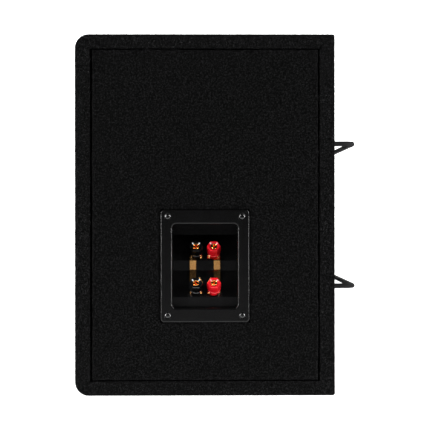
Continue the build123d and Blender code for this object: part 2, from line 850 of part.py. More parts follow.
# ================================================================ guard rods
rod_bend = 9.0
guard_screw = (
    woofer_screw_circle * cos(radians(woofer_screw_first)),
    woofer_screw_circle * sin(radians(woofer_screw_first)),
)
for name, side in (("upper", 1), ("lower", -1)):
    with BuildPart() as guard:
        rod_section = Plane(
            origin=(0, -half_depth, woofer_height + side * guard_rod_height),
            x_dir=(1, 0, 0),
            z_dir=(0, 0, -1),
        )
        with BuildLine(rod_section):
            rod = FilletPolyline(
                (-guard_leg_reach, trim_top),
                (-guard_leg_reach, guard_standoff),
                (guard_leg_reach, guard_standoff),
                (guard_leg_reach, trim_top),
                radius=rod_bend,
            )
        with BuildSketch(Plane(origin=rod @ 0, z_dir=rod % 0)):
            Circle(guard_rod_radius)
        sweep()
        for end in (-1, 1):
            with BuildSketch(woofer_face.offset(trim_top)):
                with Locations((end * guard_leg_reach, side * guard_rod_height)):
                    Circle(guard_rod_radius + 1)
                with Locations((end * guard_screw[0], side * guard_screw[1])):
                    Circle(6.5)
                make_hull()
                with Locations((end * guard_screw[0], side * guard_screw[1])):
                    Circle(screw_shank + fit, mode=Mode.SUBTRACT)
            extrude(amount=tab_thickness)
    write(guard, f"{name}_guard_rod")

with BuildPart() as woofer_screws:
    head_radius = 4.6
    head_height = 3.0
    screw_length = 22.0
    for number in range(woofer_screw_count):
        turn = woofer_screw_first + number * 360 / woofer_screw_count
        on_tab = number % 3 != 1
        under_head = trim_top + (tab_thickness if on_tab else 0)
        with BuildSketch(woofer_face.offset(under_head)):
            with PolarLocations(woofer_screw_circle, 1, turn):
                Circle(head_radius)
        extrude(amount=head_height)
        with BuildSketch(woofer_face.offset(under_head)):
            with PolarLocations(woofer_screw_circle, 1, turn):
                Circle(screw_shank)
        extrude(amount=-screw_length)
        with BuildSketch(woofer_face.offset(under_head + head_height)):
            with PolarLocations(woofer_screw_circle, 1, turn):
                Rectangle(5, 1)
                Rectangle(1, 5)
        extrude(amount=-1.8, mode=Mode.SUBTRACT)
    top_edges = woofer_screws.faces().filter_by(Axis.Y).edges().filter_by(GeomType.CIRCLE)
    heads = top_edges.filter_by(lambda e: abs(e.radius - head_radius) < 0.01)
    fillet(heads.group_by(Axis.Y)[0] + heads.group_by(Axis.Y)[1], 1.2)
write(woofer_screws, "woofer_screws")
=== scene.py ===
"""The looks of the carpet-covered loudspeaker cabinet: carpet, plastics, gold, woofer, studio and camera."""

import json
import math

import bpy
import numpy as np
from mathutils import Matrix, Vector


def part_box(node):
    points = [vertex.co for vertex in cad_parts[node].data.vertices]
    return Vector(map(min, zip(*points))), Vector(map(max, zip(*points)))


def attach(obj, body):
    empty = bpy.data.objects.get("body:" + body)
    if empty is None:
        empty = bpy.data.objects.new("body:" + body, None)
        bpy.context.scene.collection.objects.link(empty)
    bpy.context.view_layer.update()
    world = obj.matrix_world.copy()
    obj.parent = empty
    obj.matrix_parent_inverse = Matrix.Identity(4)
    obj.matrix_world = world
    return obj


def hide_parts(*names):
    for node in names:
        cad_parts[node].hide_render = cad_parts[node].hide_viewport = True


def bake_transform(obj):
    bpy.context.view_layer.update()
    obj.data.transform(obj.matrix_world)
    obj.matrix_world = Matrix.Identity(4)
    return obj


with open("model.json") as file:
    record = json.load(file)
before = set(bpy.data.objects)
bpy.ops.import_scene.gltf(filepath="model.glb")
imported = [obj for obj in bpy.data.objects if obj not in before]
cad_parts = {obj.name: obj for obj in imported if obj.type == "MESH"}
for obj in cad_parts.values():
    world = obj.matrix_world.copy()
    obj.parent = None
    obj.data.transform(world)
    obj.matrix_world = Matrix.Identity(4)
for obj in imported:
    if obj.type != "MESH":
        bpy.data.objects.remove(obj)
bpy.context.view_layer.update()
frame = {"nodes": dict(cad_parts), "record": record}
MM = 0.001

# ---------------------------------------------------------------- places taken from the frame
wrap_low, wrap_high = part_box("carpet_wrap")
cup_low, cup_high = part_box("terminal_cup")
half_width = wrap_high.x
half_depth = wrap_high.y
height = wrap_high.z
woofer_z = height / 2
carpet = 2.75 * MM
rear_radius = 14.6 * MM
fold_radius = 2.5 * MM
woofer_rebate_radius = 157 * MM


# ================================================================ materials
class Nodes:
    """A small helper that builds one node material."""

    def __init__(self, name):
        self.material = bpy.data.materials.new(name)
        self.material.use_nodes = True
        self.tree = self.material.node_tree
        self.tree.nodes.clear()
        self.output = self.tree.nodes.new("ShaderNodeOutputMaterial")
        self.shader = self.tree.nodes.new("ShaderNodeBsdfPrincipled")
        self.tree.links.new(self.shader.outputs[0], self.output.inputs[0])
        self.place = self.tree.nodes.new("ShaderNodeTexCoord").outputs["Object"]

    def link(self, a, b):
        self.tree.links.new(a, b)

    def noise(self, scale, detail=4.0, roughness=0.6, stretch=None):
        """A noise field; scale is in features a metre."""
        node = self.tree.nodes.new("ShaderNodeTexNoise")
        node.inputs["Scale"].default_value = scale
        node.inputs["Detail"].default_value = detail
        node.inputs["Roughness"].default_value = roughness
        if stretch:
            mapping = self.tree.nodes.new("ShaderNodeMapping")
            mapping.inputs["Scale"].default_value = stretch
            self.link(self.place, mapping.inputs["Vector"])
            self.link(mapping.outputs[0], node.inputs["Vector"])
        else:
            self.link(self.place, node.inputs["Vector"])
        return node.outputs["Fac"]

    def ramp(self, factor, stops):
        """A colour ramp through (place, colour) stops."""
        node = self.tree.nodes.new("ShaderNodeValToRGB")
        elements = node.color_ramp.elements
        while len(elements) < len(stops):
            elements.new(0.5)
        for element, (place, colour) in zip(elements, stops):
            element.position = place
            element.color = (*colour, 1) if len(colour) == 3 else colour
        self.link(factor, node.inputs[0])
        return node.outputs[0]

    def span(self, factor, low, high):
        """A number between low and high."""
        node = self.tree.nodes.new("ShaderNodeMapRange")
        node.inputs["To Min"].default_value = low
        node.inputs["To Max"].default_value = high
        self.link(factor, node.inputs[0])
        return node.outputs[0]

    def bump(self, factor, distance, strength=1.0, under=None):
        node = self.tree.nodes.new("ShaderNodeBump")
        node.inputs["Distance"].default_value = distance
        node.inputs["Strength"].default_value = strength
        self.link(factor, node.inputs["Height"])
        if under:
            self.link(under, node.inputs["Normal"])
        self.link(node.outputs[0], self.shader.inputs["Normal"])
        return node.outputs[0]

    def colour(self, output):
        self.link(output, self.shader.inputs["Base Color"])

    def roughness(self, output):
        self.link(output, self.shader.inputs["Roughness"])

    def constant(self, **values):
        for key, value in values.items():
            self.shader.inputs[key.replace("_", " ")].default_value = value


def grey(value):
    return (value, value, value * 1.02)


def carpet_material():
    m = Nodes("needle_punched_carpet")
    tufts = m.noise(620, 2, 0.9)
    m.colour(m.ramp(tufts, [(0.375, grey(0.0002)), (0.5, grey(0.0011)), (0.645, grey(0.0098))]))
    m.constant(Roughness=0.95)
    m.shader.inputs["Specular IOR Level"].default_value = 0.04
    m.bump(m.noise(640, 3, 0.8), 0.0014, 1.0)
    return m.material


def fibre_material(name, shade):
    m = Nodes(name)
    tint = m.noise(300, 2)
    m.colour(m.ramp(tint, [(0.3, grey(shade * 0.6)), (0.7, grey(shade * 1.4))]))
    m.constant(Roughness=0.75)
    m.shader.inputs["Specular IOR Level"].default_value = 0.08
    return m.material


def plastic(name, dark, light, rough, grain, depth, coat=0.0, gloss=0.5):
    """Moulded plastic: a slight colour drift, an uneven gloss and a fine grain."""
    m = Nodes(name)
    m.colour(m.ramp(m.noise(60, 3), [(0.35, dark), (0.7, light)]))
    m.roughness(m.span(m.noise(90, 5), rough - 0.06, rough + 0.08))
    m.constant(Coat_Weight=coat)
    m.shader.inputs["Specular IOR Level"].default_value = gloss
    m.bump(m.noise(grain, 3), depth, 0.5)
    return m.material


def metal(name, dark, light, rough, scratch, depth=0.00002, stretch=(1, 1, 1), spread=0.6):
    """Plated or bare metal with drawn scratches."""
    m = Nodes(name)
    m.colour(m.ramp(m.noise(140, 4), [(0.3, dark), (0.7, light)]))
    m.constant(Metallic=1.0)
    low, high = rough * (1 - spread), rough * (1 + spread)
    m.roughness(m.span(m.noise(scratch, 4, 0.7, stretch), low, high))
    m.bump(m.noise(scratch, 3, 0.6, stretch), depth, 0.4)
    return m.material


def board_material():
    m = Nodes("fibreboard")
    m.colour(m.ramp(m.noise(420, 6), [(0.3, (0.30, 0.19, 0.10)), (0.7, (0.46, 0.32, 0.19))]))
    m.constant(Roughness=0.85)
    m.bump(m.noise(900, 4), 0.0001, 0.6)
    return m.material


def cloth_material(name, low, high, scale):
    m = Nodes(name)
    m.colour(m.ramp(m.noise(scale, 4), [(0.35, low), (0.7, high)]))
    m.constant(Roughness=0.9)
    m.bump(m.noise(scale * 2, 3), 0.0002, 0.7)
    return m.material


CARPET = carpet_material()
# Adhesive film under the carpet, kept near-black as painted shade in the seams and in the gaps round the cup
# and the woofer.
ADHESIVE_AND_SHADE = plastic("adhesive_and_shade_film", grey(0.0002), grey(0.0004), 0.8, 700, 0.0001, gloss=0.0)
DARK_FIBRE = fibre_material("dark_fibre", 0.002)
LIGHT_FIBRE = fibre_material("light_fibre", 0.03)
MATERIALS = {
    "board": board_material(),
    "carpet": CARPET,
    "black_plastic": plastic("cup_plastic", grey(0.0015), grey(0.0021), 0.2, 2600, 0.00002, gloss=0.26),
    "black_cap_plastic": plastic("black_cap", grey(0.0015), grey(0.003), 0.12, 900, 0.00003, 0.3),
    "red_cap_plastic": plastic("red_cap", (0.50, 0.004, 0.010), (0.62, 0.008, 0.014), 0.2, 900, 0.00003, 0.3),
    "gold": metal("gold_plate", (0.78, 0.38, 0.12), (0.86, 0.47, 0.17), 0.12, 700, 0.000006),
    "zinc_steel": metal("zinc_plate", (0.5, 0.5, 0.5), (0.66, 0.66, 0.63), 0.3, 500),
    "black_steel": plastic("black_coat", grey(0.002), grey(0.004), 0.3, 1500, 0.00004, gloss=0.35),
    "gasket_foam": cloth_material("gasket_foam", grey(0.012), grey(0.03), 900),
    "ferrite": plastic("ferrite", grey(0.03), grey(0.05), 0.55, 1300, 0.0001),
    "cone_paper": cloth_material("cone_paper", grey(0.010), grey(0.022), 380),
    "surround_foam": cloth_material("surround_foam", grey(0.010), grey(0.018), 1400),
    "spider_cloth": cloth_material("spider_cloth", (0.40, 0.25, 0.1), (0.6, 0.42, 0.2), 1200),
    "copper": metal("copper_wire", (0.62, 0.27, 0.14), (0.75, 0.38, 0.22), 0.3, 900),
    "former_film": plastic("former_film", (0.3, 0.13, 0.03), (0.42, 0.2, 0.06), 0.25, 900, 0.00001),
    "board_phenolic": plastic("phenolic", (0.2, 0.08, 0.03), (0.3, 0.14, 0.06), 0.4, 700, 0.00003),
    "black_insulation": plastic("black_wire", grey(0.012), grey(0.018), 0.35, 900, 0.00002),
    "red_insulation": plastic("red_wire", (0.4, 0.01, 0.01), (0.5, 0.02, 0.02), 0.35, 900, 0.00002),
    "clear_sleeve": plastic("nylon_sleeve", grey(0.6), grey(0.75), 0.35, 700, 0.00002),
}
for entry in frame["record"]["subparts"]:
    node = frame["nodes"][entry["node"]]
    node.data.materials.clear()
    node.data.materials.append(MATERIALS[entry["material_slot"]])
# Matt powder coat on the guard rods, gloss black on the cup's screws.
GUARD_COAT = plastic("guard_coat", grey(0.012), grey(0.02), 0.6, 1500, 0.00004, gloss=0.03)
for name in ("upper_guard_rod", "lower_guard_rod"):
    frame["nodes"][name].data.materials[0] = GUARD_COAT
frame["nodes"]["terminal_screws"].data.materials[0] = MATERIALS["black_cap_plastic"]


# ================================================================ mesh helpers
def new_mesh(name, points, faces, material, smooth=True):
    mesh = bpy.data.meshes.new(name)
    mesh.from_pydata([tuple(p) for p in points], [], [tuple(f) for f in faces])
    mesh.polygons.foreach_set("use_smooth", [smooth] * len(mesh.polygons))
    mesh.materials.append(material)
    mesh.update()
    obj = bpy.data.objects.new(name, mesh)
    bpy.context.scene.collection.objects.link(obj)
    return obj


def grid_faces(rows, columns, closed):
    """Quads of a grid whose points are stored row by row; closed joins the last column to the first."""
    r = np.arange(rows - 1)[:, None]
    c = np.arange(columns if closed else columns - 1)[None, :]
    n = (c + 1) % columns
    quads = [r * columns + c, r * columns + n, (r + 1) * columns + n, (r + 1) * columns + c]
    return np.stack([np.broadcast_to(q, (rows - 1, c.shape[1])) for q in quads], -1).reshape(-1, 4)


def hash_field(points, scale, seed):
    """Smooth noise from -1 to 1 at points, with features about 1 / scale across."""
    p = points * scale + seed * 17.31
    cell = np.floor(p)
    f = p - cell
    f = f * f * (3 - 2 * f)
    total = np.zeros(len(points))
    for corner in range(8):
        offset = np.array([corner & 1, corner >> 1 & 1, corner >> 2 & 1])
        c = cell + offset
        h = np.sin(c[:, 0] * 127.1 + c[:, 1] * 311.7 + c[:, 2] * 74.7 + seed) * 43758.5453
        h = h - np.floor(h)
        weight = np.prod(np.where(offset, f, 1 - f), axis=1)
        total += h * weight
    return total * 2 - 1


# ================================================================ carpet
# The folded margin stops at the seam insets, and the end patches start a gap further in.
side_seam_inset = 16.0 * MM
top_seam_inset = 15.3 * MM
rear_gap = 2.3 * MM
front_gap = 1.7 * MM
top_gap = 1.2 * MM
roll_radius = 1.1 * MM
mean_margin = 15.9 * MM
sharp_corner = 0.2 * MM
wrap_step = 1.1 * MM
patch_step = 0.9 * MM
patch_roll = 1.5 * MM


def loop(inset_y, inset_z, steps_y, steps_z):
    """The outline of the cabinet's end, pulled in by the insets, as (Y, Z) points and outward directions.

    Every call with the same steps gives matching points, so loops can be joined into a skin."""
    y_low, y_high = -half_depth + inset_y, half_depth - inset_y
    z_low, z_high = inset_z, height - inset_z
    inset = min(inset_y, inset_z)
    front = max(fold_radius - inset, sharp_corner)
    rear = max(rear_radius - inset, sharp_corner)
    corners = [
        (y_high, z_low, rear, -90, steps_y),
        (y_high, z_high, rear, 0, steps_z),
        (y_low, z_high, front, 90, steps_y),
        (y_low, z_low, front, 180, steps_z),
    ]
    points = []
    for y, z, radius, start, steps in corners:
        centre_y = y - math.copysign(radius, y)
        centre_z = z - math.copysign(radius, z - height / 2)
        arc = [math.radians(start + 90 * i / 8) for i in range(9)]
        turn = [(centre_y + radius * math.cos(a), centre_z + radius * math.sin(a)) for a in arc]
        if points:
            before = points[-1]
            for i in range(1, steps):
                t = i / steps
                points.append(
                    (before[0] + (turn[0][0] - before[0]) * t, before[1] + (turn[0][1] - before[1]) * t)
                )
        points.extend(turn)
    before, after = points[-1], points[0]
    for i in range(1, steps_y):
        t = i / steps_y
        points.append((before[0] + (after[0] - before[0]) * t, before[1] + (after[1] - before[1]) * t))
    return np.array(points)


def end_profile():
    """(depth in from the end, inset) rows from the seam groove, over the margin, to the fold."""
    rows = [(carpet, 1.0)]
    for i in range(6):
        a = math.pi / 2 * i / 5
        rows.append((roll_radius * (1 - math.sin(a)), 1.0 - roll_radius / mean_margin * (1 - math.cos(a))))
    start = rows[-1][1]
    stop = fold_radius / side_seam_inset
    flat_rows = 26
    rows += [(0.0, start + (stop - start) * i / flat_rows) for i in range(1, flat_rows)]
    for i in range(6):
        a = math.pi / 2 * i / 5
        rows.append((fold_radius * (1 - math.cos(a)), stop * (1 - math.sin(a))))
    return rows


def build_wrap():
    """The carpet round the cabinet's top, back, underside and front, folded onto both ends."""
    steps_y = int(2 * half_depth / wrap_step)
    steps_z = int(height / wrap_step)
    profile = end_profile()
    rows = []
    for depth, share in profile:
        ring = loop(side_seam_inset * share, top_seam_inset * share, steps_y, steps_z)
        rows.append(np.column_stack([np.full(len(ring), -half_width + depth), ring]))
    outer = loop(0, 0, steps_y, steps_z)
    across = np.linspace(-half_width + fold_radius, half_width - fold_radius, 150)[1:-1]
    for x in across:
        rows.append(np.column_stack([np.full(len(outer), x), outer]))
    for depth, share in reversed(profile):
        ring = loop(side_seam_inset * share, top_seam_inset * share, steps_y, steps_z)
        rows.append(np.column_stack([np.full(len(ring), half_width - depth), ring]))
    points = np.concatenate(rows)
    faces = grid_faces(len(rows), len(outer), True)
    # Open the front where the woofer's flange sits on the board.
    front = points[:, 1] < -half_depth + 0.1 * MM
    radius = np.hypot(points[:, 0], points[:, 2] - woofer_z)
    inside = front & (radius < woofer_rebate_radius)
    keep = ~inside[faces].all(axis=1)
    edge = np.unique(faces[keep][inside[faces[keep]]])
    scale = woofer_rebate_radius / radius[edge]
    points[edge, 0] *= scale
    points[edge, 2] = woofer_z + (points[edge, 2] - woofer_z) * scale
    return points, faces[keep]


def rough_up(points, outward, seed):
    """Moves points in and out like the matted surface of needle-punched carpet."""
    lift = 0.12 * hash_field(points, 420, seed) + 0.12 * hash_field(points, 900, seed + 1)
    lift += 0.03 * hash_field(points, 90, seed + 2)
    return points + outward * (lift * MM)[:, None]


def normals_of(points, faces):
    """The outward direction at every point of a skin of quads."""
    a, b, c, d = (points[faces[:, k]] for k in range(4))
    n = np.cross(c - a, d - b)
    total = np.zeros_like(points)
    for k in range(4):
        np.add.at(total, faces[:, k], n)
    length = np.linalg.norm(total, axis=1)
    length[length == 0] = 1
    return total / length[:, None]


def fibres(name, points, faces, count, seed, light_share=0.22):
    """Short curled fibres lying on and standing a little out of a carpet surface."""
    local = np.random.default_rng(seed)
    a, b, c, d = (points[faces[:, k]] for k in range(4))
    area = np.linalg.norm(np.cross(c - a, d - b), axis=1)
    pick = local.choice(len(faces), count, p=area / area.sum())
    u, v = local.random((2, count, 1))
    spot = (a[pick] * (1 - u) + b[pick] * u) * (1 - v) + (d[pick] * (1 - u) + c[pick] * u) * v
    n = np.cross(c - a, d - b)[pick]
    n /= np.linalg.norm(n, axis=1)[:, None] + 1e-12
    side = np.cross(n, local.normal(size=(count, 3)))
    side /= np.linalg.norm(side, axis=1)[:, None]
    cross = np.cross(n, side)
    length = local.uniform(0.7, 1.9, (count, 1)) * MM
    curl = local.normal(0, 0.5, (count, 1))
    rise = local.uniform(0.05, 0.42, (count, 1)) * MM
    width = local.uniform(0.06, 0.16, (count, 1)) * MM
    stations = []
    for t in (0, 0.33, 0.67, 1.0):
        bend = curl * t * t
        along = side * (length * (t - 0.5)) + cross * (length * bend * 0.6)
        up = n * (rise * math.sin(math.pi * (0.12 + 0.8 * t)) - 0.02 * MM)
        centre = spot + along + up
        across = (cross + n * 0.35) * width * (1.0 if 0 < t < 1 else 0.5)
        stations += [centre - across, centre + across]
    strip = np.stack(stations, 1).reshape(-1, 3)
    base = np.arange(count)[:, None] * 8
    quads = np.concatenate([base + np.array([[k, k + 1, k + 3, k + 2]]) for k in (0, 2, 4)], 0)
    obj = new_mesh(name, strip, quads, DARK_FIBRE)
    obj.data.materials.append(LIGHT_FIBRE)
    light = local.random(count) < light_share
    obj.data.polygons.foreach_set("material_index", np.tile(light, 3).astype(np.int32))
    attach(obj, "cabinet")


def patch(x_face, outward, hole, seed):
    """A flat carpet patch inside the folded margins, its edge rolled down to the board.

    hole is the terminal cup's outline as (low y, high y, low z, high z), or None."""
    low_y = -half_depth + side_seam_inset + front_gap
    high_y = half_depth - side_seam_inset - rear_gap
    low_z = top_seam_inset + top_gap
    high_z = height - low_z
    ys = np.linspace(low_y, high_y, int((high_y - low_y) / patch_step))
    zs = np.linspace(low_z, high_z, int((high_z - low_z) / patch_step))
    if hole:
        # The nearest grid lines move onto the hole's edges, so it is cut straight.
        for line, stops in ((ys, hole[:2]), (zs, hole[2:])):
            for stop in stops:
                line[np.abs(line - stop).argmin()] = stop
    if outward > 0:
        ys = ys[::-1]
    grid_y, grid_z = np.meshgrid(ys, zs)
    side_edge = np.minimum(high_y - grid_y, grid_y - low_y)
    edge = np.minimum(side_edge, np.minimum(grid_z - low_z, high_z - grid_z))
    rolled = 1 - np.sqrt(np.clip(1 - (1 - edge / patch_roll) ** 2, 0, 1))
    drop = np.where(edge < patch_roll, rolled, 0) * patch_roll
    shoulder = 0.35 * MM * np.exp(-(((edge - 2.2 * MM) / (1.4 * MM)) ** 2))
    x = x_face - outward * (drop - shoulder)
    points = np.stack([x, grid_y, grid_z], -1).reshape(-1, 3)
    faces = grid_faces(len(zs), len(ys), False)
    if hole:
        y0, y1, z0, z1 = hole
        y, z = points[faces].mean(axis=1)[:, 1:].T
        faces = faces[~((y > y0) & (y < y1) & (z > z0) & (z < z1))]
    # The edge wanders a little, as cut by hand.
    rim = np.clip(1 - edge.reshape(-1) / (4 * MM), 0, 1)
    wander = hash_field(points, 42, seed) * 0.4 * MM + hash_field(points, 230, seed) * 0.4 * MM
    toward = np.sign(points - np.array([0, 0, height / 2]))
    near_side = side_edge.reshape(-1) < np.minimum(points[:, 2] - low_z, high_z - points[:, 2])
    points[:, 1] += np.where(near_side, toward[:, 1] * wander * rim, 0)
    points[:, 2] += np.where(near_side, 0, toward[:, 2] * 1.2 * wander * rim)
    return points, faces


def crease(points, start, stop, depth, width):
    """Presses a groove into the near end's carpet along a line between two (y, z) places."""
    line = np.array(stop) - np.array(start)
    offset = points[:, 1:] - np.array(start)
    along = np.clip((offset @ line) / (line @ line), 0, 1)
    off_line = np.linalg.norm(offset - along[:, None] * line, axis=1)
    flat = points[:, 0] < -half_width + 0.6 * MM
    waver = 1 + 0.35 * hash_field(points, 300, 9)
    points[:, 0] += np.where(flat, depth * waver * np.exp(-((off_line / width) ** 2)), 0)


def skirt(points, faces, x_board):
    """Side walls from every open edge of a patch down to the board."""
    edges = np.concatenate([faces[:, [k, (k + 1) % 4]] for k in range(4)])
    key = np.sort(edges, axis=1)
    _, index, count = np.unique(key, axis=0, return_index=True, return_counts=True)
    open_edges = edges[index[count == 1]]
    below = points.copy()
    below[:, 0] = x_board
    used = np.unique(open_edges)
    lookup = {int(v): len(points) + i for i, v in enumerate(used)}
    walls = [(int(b), int(a), lookup[int(a)], lookup[int(b)]) for a, b in open_edges]
    return np.concatenate([points, below[used]]), np.concatenate([faces, np.array(walls)])


wrap_points, wrap_faces = build_wrap()
wrap_normals = normals_of(wrap_points, wrap_faces)
wrap_skin = rough_up(wrap_points, wrap_normals, 1)
# The wrap's corners are folded like an envelope, so a crease runs from each seam corner outward.
rear_fold, front_fold = half_depth - 17 * MM, -half_depth + 15.5 * MM
for start, stop, depth in (
    ((half_depth - 23 * MM, height - 7.5 * MM), (half_depth - 34 * MM, height - 15.2 * MM), 1.9 * MM),
    ((front_fold, height - 15 * MM), (front_fold - 2.5 * MM, height - 11.5 * MM), 1.4 * MM),
    ((rear_fold, 15 * MM), (rear_fold + 6 * MM, 8 * MM), 0.8 * MM),
    ((front_fold, 15 * MM), (front_fold - 6 * MM, 7 * MM), 0.8 * MM),
):
    crease(wrap_skin, start, stop, depth, 0.65 * MM)
wrap = new_mesh("carpet_wrap_pile", wrap_skin, wrap_faces, CARPET)
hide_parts("carpet_wrap")
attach(wrap, "cabinet")
fibres("wrap_fibres_a", wrap_skin, wrap_faces, 30000, 11)
fibres("wrap_fibres_b", wrap_skin, wrap_faces, 30000, 12)
margin = np.abs(wrap_points[:, 0]) > half_width - 3 * MM
margin_faces = wrap_faces[margin[wrap_faces].all(axis=1)]
fibres("margin_fibres", wrap_skin, margin_faces, 16000, 13)

cup_play = 0.3 * MM
cup_hole = (cup_low.y - cup_play, cup_high.y + cup_play, cup_low.z - cup_play, cup_high.z + cup_play)
for side, node, x_face, hole, patch_seed, fibre_seed, rim_seed in (
    ("left", "carpet_left_end", -half_width, cup_hole, 5, 21, 23),
    ("right", "carpet_right_end", half_width, None, 6, 22, 24),
):
    outward = math.copysign(1, x_face)
    points, faces = patch(x_face, outward, hole, patch_seed)
    away = np.tile([outward, 0, 0], (len(points), 1))
    points = rough_up(points, away, 3)
    top_faces = faces
    points, faces = skirt(points, faces, x_face - outward * carpet)
    pile = new_mesh(f"{side}_end_pile", points, faces, CARPET)
    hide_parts(node)
    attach(pile, "cabinet")
    fibres(f"{side}_end_fibres", points, top_faces, 30000, fibre_seed)
    # More pale fibres stand up along the cut edges, partly a painted highlight on the patch's rolled edge.
    from_edge = np.minimum(half_depth - side_seam_inset - np.abs(points[:, 1]), points[:, 2] - top_seam_inset)
    rim = (from_edge < 4.2 * MM) & (points[:, 2] > top_seam_inset + 2 * MM)
    highlight_rim_faces = top_faces[rim[top_faces].all(axis=1)]
    fibres(f"{side}_rim_highlight_fibres", points, highlight_rim_faces, 9000, rim_seed, 0.6)

# ---------------------------------------------------------------- adhesive under the carpet, near-black as painted shade in the seams and gaps
film_lift = 0.25 * MM


def adhesive_and_shade_film(name, grid_u, grid_v, place, keep):
    """A thin uneven near-black film on a board, painted shade in the seams and gaps above it: place maps (u,
    v) to points and keep says which points it covers.
    """
    u, v = np.meshgrid(grid_u, grid_v)
    points = place(u.reshape(-1), v.reshape(-1))
    faces = grid_faces(len(grid_v), len(grid_u), False)
    faces = faces[keep(points)[faces].all(axis=1)]
    obj = new_mesh(name, points, faces, ADHESIVE_AND_SHADE)
    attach(obj, "cabinet")


def end_film(x_board, outward):
    """Places a film on an end board, from (y, z)."""

    def place(u, v):
        ripple = hash_field(np.stack([u, v, u], -1), 90, 4) * 0.08 * MM
        return np.stack([x_board + outward * (film_lift + ripple), u, v], -1)

    return place


def front_film(u, v):
    """Places a film on the front baffle, from (x, z)."""
    ripple = hash_field(np.stack([u, v, u], -1), 90, 4) * 0.08 * MM
    return np.stack([u, -half_depth + carpet - film_lift + ripple, v], -1)


film_y = np.linspace(-half_depth + 6 * MM, half_depth - 6 * MM, 130)
film_z = np.linspace(6 * MM, height - 6 * MM, 180)
cup_margin = 4 * MM


def outside_cup(points):
    within_y = (points[:, 1] > cup_low.y + cup_margin) & (points[:, 1] < cup_high.y - cup_margin)
    within_z = (points[:, 2] > cup_low.z + cup_margin) & (points[:, 2] < cup_high.z - cup_margin)
    return ~(within_y & within_z)


def everywhere(points):
    return np.ones(len(points), bool)


def round_the_woofer(points):
    radius = np.hypot(points[:, 0], points[:, 2] - woofer_z)
    return (radius > 148 * MM) & (radius < 163 * MM)


adhesive_and_shade_film("left_adhesive_and_shade", film_y, film_z, end_film(-half_width + carpet, -1), outside_cup)
adhesive_and_shade_film("right_adhesive_and_shade", film_y[::-1], film_z, end_film(half_width - carpet, 1), everywhere)
film_x = np.linspace(-165 * MM, 165 * MM, 160)
adhesive_and_shade_film("front_adhesive_and_shade", film_x, film_x + woofer_z, front_film, round_the_woofer)

# ================================================================ the woofer's soft parts
# Distances out from the cabinet's front face, and radii about the woofer's axis.
surround_line = -1.75 * MM
roll_height = 9.0 * MM
roll_inner, roll_outer = 110 * MM, 132 * MM
spider_line = -58.6 * MM
# Between these radii a skin's share of the cone's movement runs from none at the outer one to all at the inner
# one; the share is worked out but not used.
hold_radii = {"surround": (roll_inner, roll_outer), "spider": (37 * MM, 76 * MM)}


def shell(name, profile, half_thickness, count, slot_name, node, seed):
    """A thin turned skin with its rim at the basket and its inner edge at the cone.

    profile lists (radius, outward) from the rim inward."""
    profile = np.array(profile)
    along = np.gradient(profile, axis=0)
    along /= np.linalg.norm(along, axis=1)[:, None]
    normal = np.stack([-along[:, 1], along[:, 0]], -1)
    outline = np.concatenate([profile + normal * half_thickness, (profile - normal * half_thickness)[::-1]])
    turn = np.linspace(0, 2 * math.pi, count, endpoint=False)
    radius, angle = np.meshgrid(outline[:, 0], turn)
    out = np.tile(outline[:, 1], (count, 1))
    points = np.stack([radius * np.cos(angle), -half_depth - out, woofer_z + radius * np.sin(angle)], -1)
    points = points.reshape(-1, 3)
    points[:, 1] += hash_field(points, 260, seed) * 0.08 * MM + hash_field(points, 60, seed) * 0.1 * MM
    r = np.arange(count)[:, None] * len(outline)
    after = (np.arange(count)[:, None] + 1) % count * len(outline)
    c = np.arange(len(outline))[None, :]
    d = (c + 1) % len(outline)
    faces = np.stack([r + c, r + d, after + d, after + c], -1).reshape(-1, 4)
    obj = new_mesh(name, points, faces, MATERIALS[slot_name])
    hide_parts(node)
    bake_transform(obj)
    inner, outer = hold_radii[node]
    share = np.clip((outer - radius.reshape(-1)) / (outer - inner), 0, 1)
    share = (share * share * (3 - 2 * share)).astype(np.float32)


roll_half = (roll_outer - roll_inner) / 2
roll_radius_out = (roll_half**2 + roll_height**2) / (2 * roll_height)
roll_middle = (roll_outer + roll_inner) / 2
surround_profile = [(144 * MM - i * 1.5 * MM, surround_line) for i in range(8)]
for i in range(27):
    place = roll_outer - (roll_outer - roll_inner) * i / 26
    sag = math.sqrt(max(roll_radius_out**2 - (place - roll_middle) ** 2, 0)) - (roll_radius_out - roll_height)
    surround_profile.append((place, surround_line + max(sag, 0)))
surround_profile += [(roll_inner - i * 1.5 * MM, surround_line) for i in range(1, 5)]
shell("surround_roll", surround_profile, 0.5 * MM, 240, "surround_foam", "surround", 31)

spider_profile = [(88 * MM - i * 2 * MM, spider_line) for i in range(7)]
for i in range(1, 73):
    place = 74 * MM - 36 * MM * i / 72
    wave = math.sin((place - 38 * MM) / (6 * MM) * math.pi)
    spider_profile.append((place, spider_line - 1.6 * MM * wave))
spider_profile += [(r * MM, spider_line) for r in (36.5, 35, 33.5, 32.1)]
shell("spider_waves", spider_profile, 0.4 * MM, 180, "spider_cloth", "spider", 32)


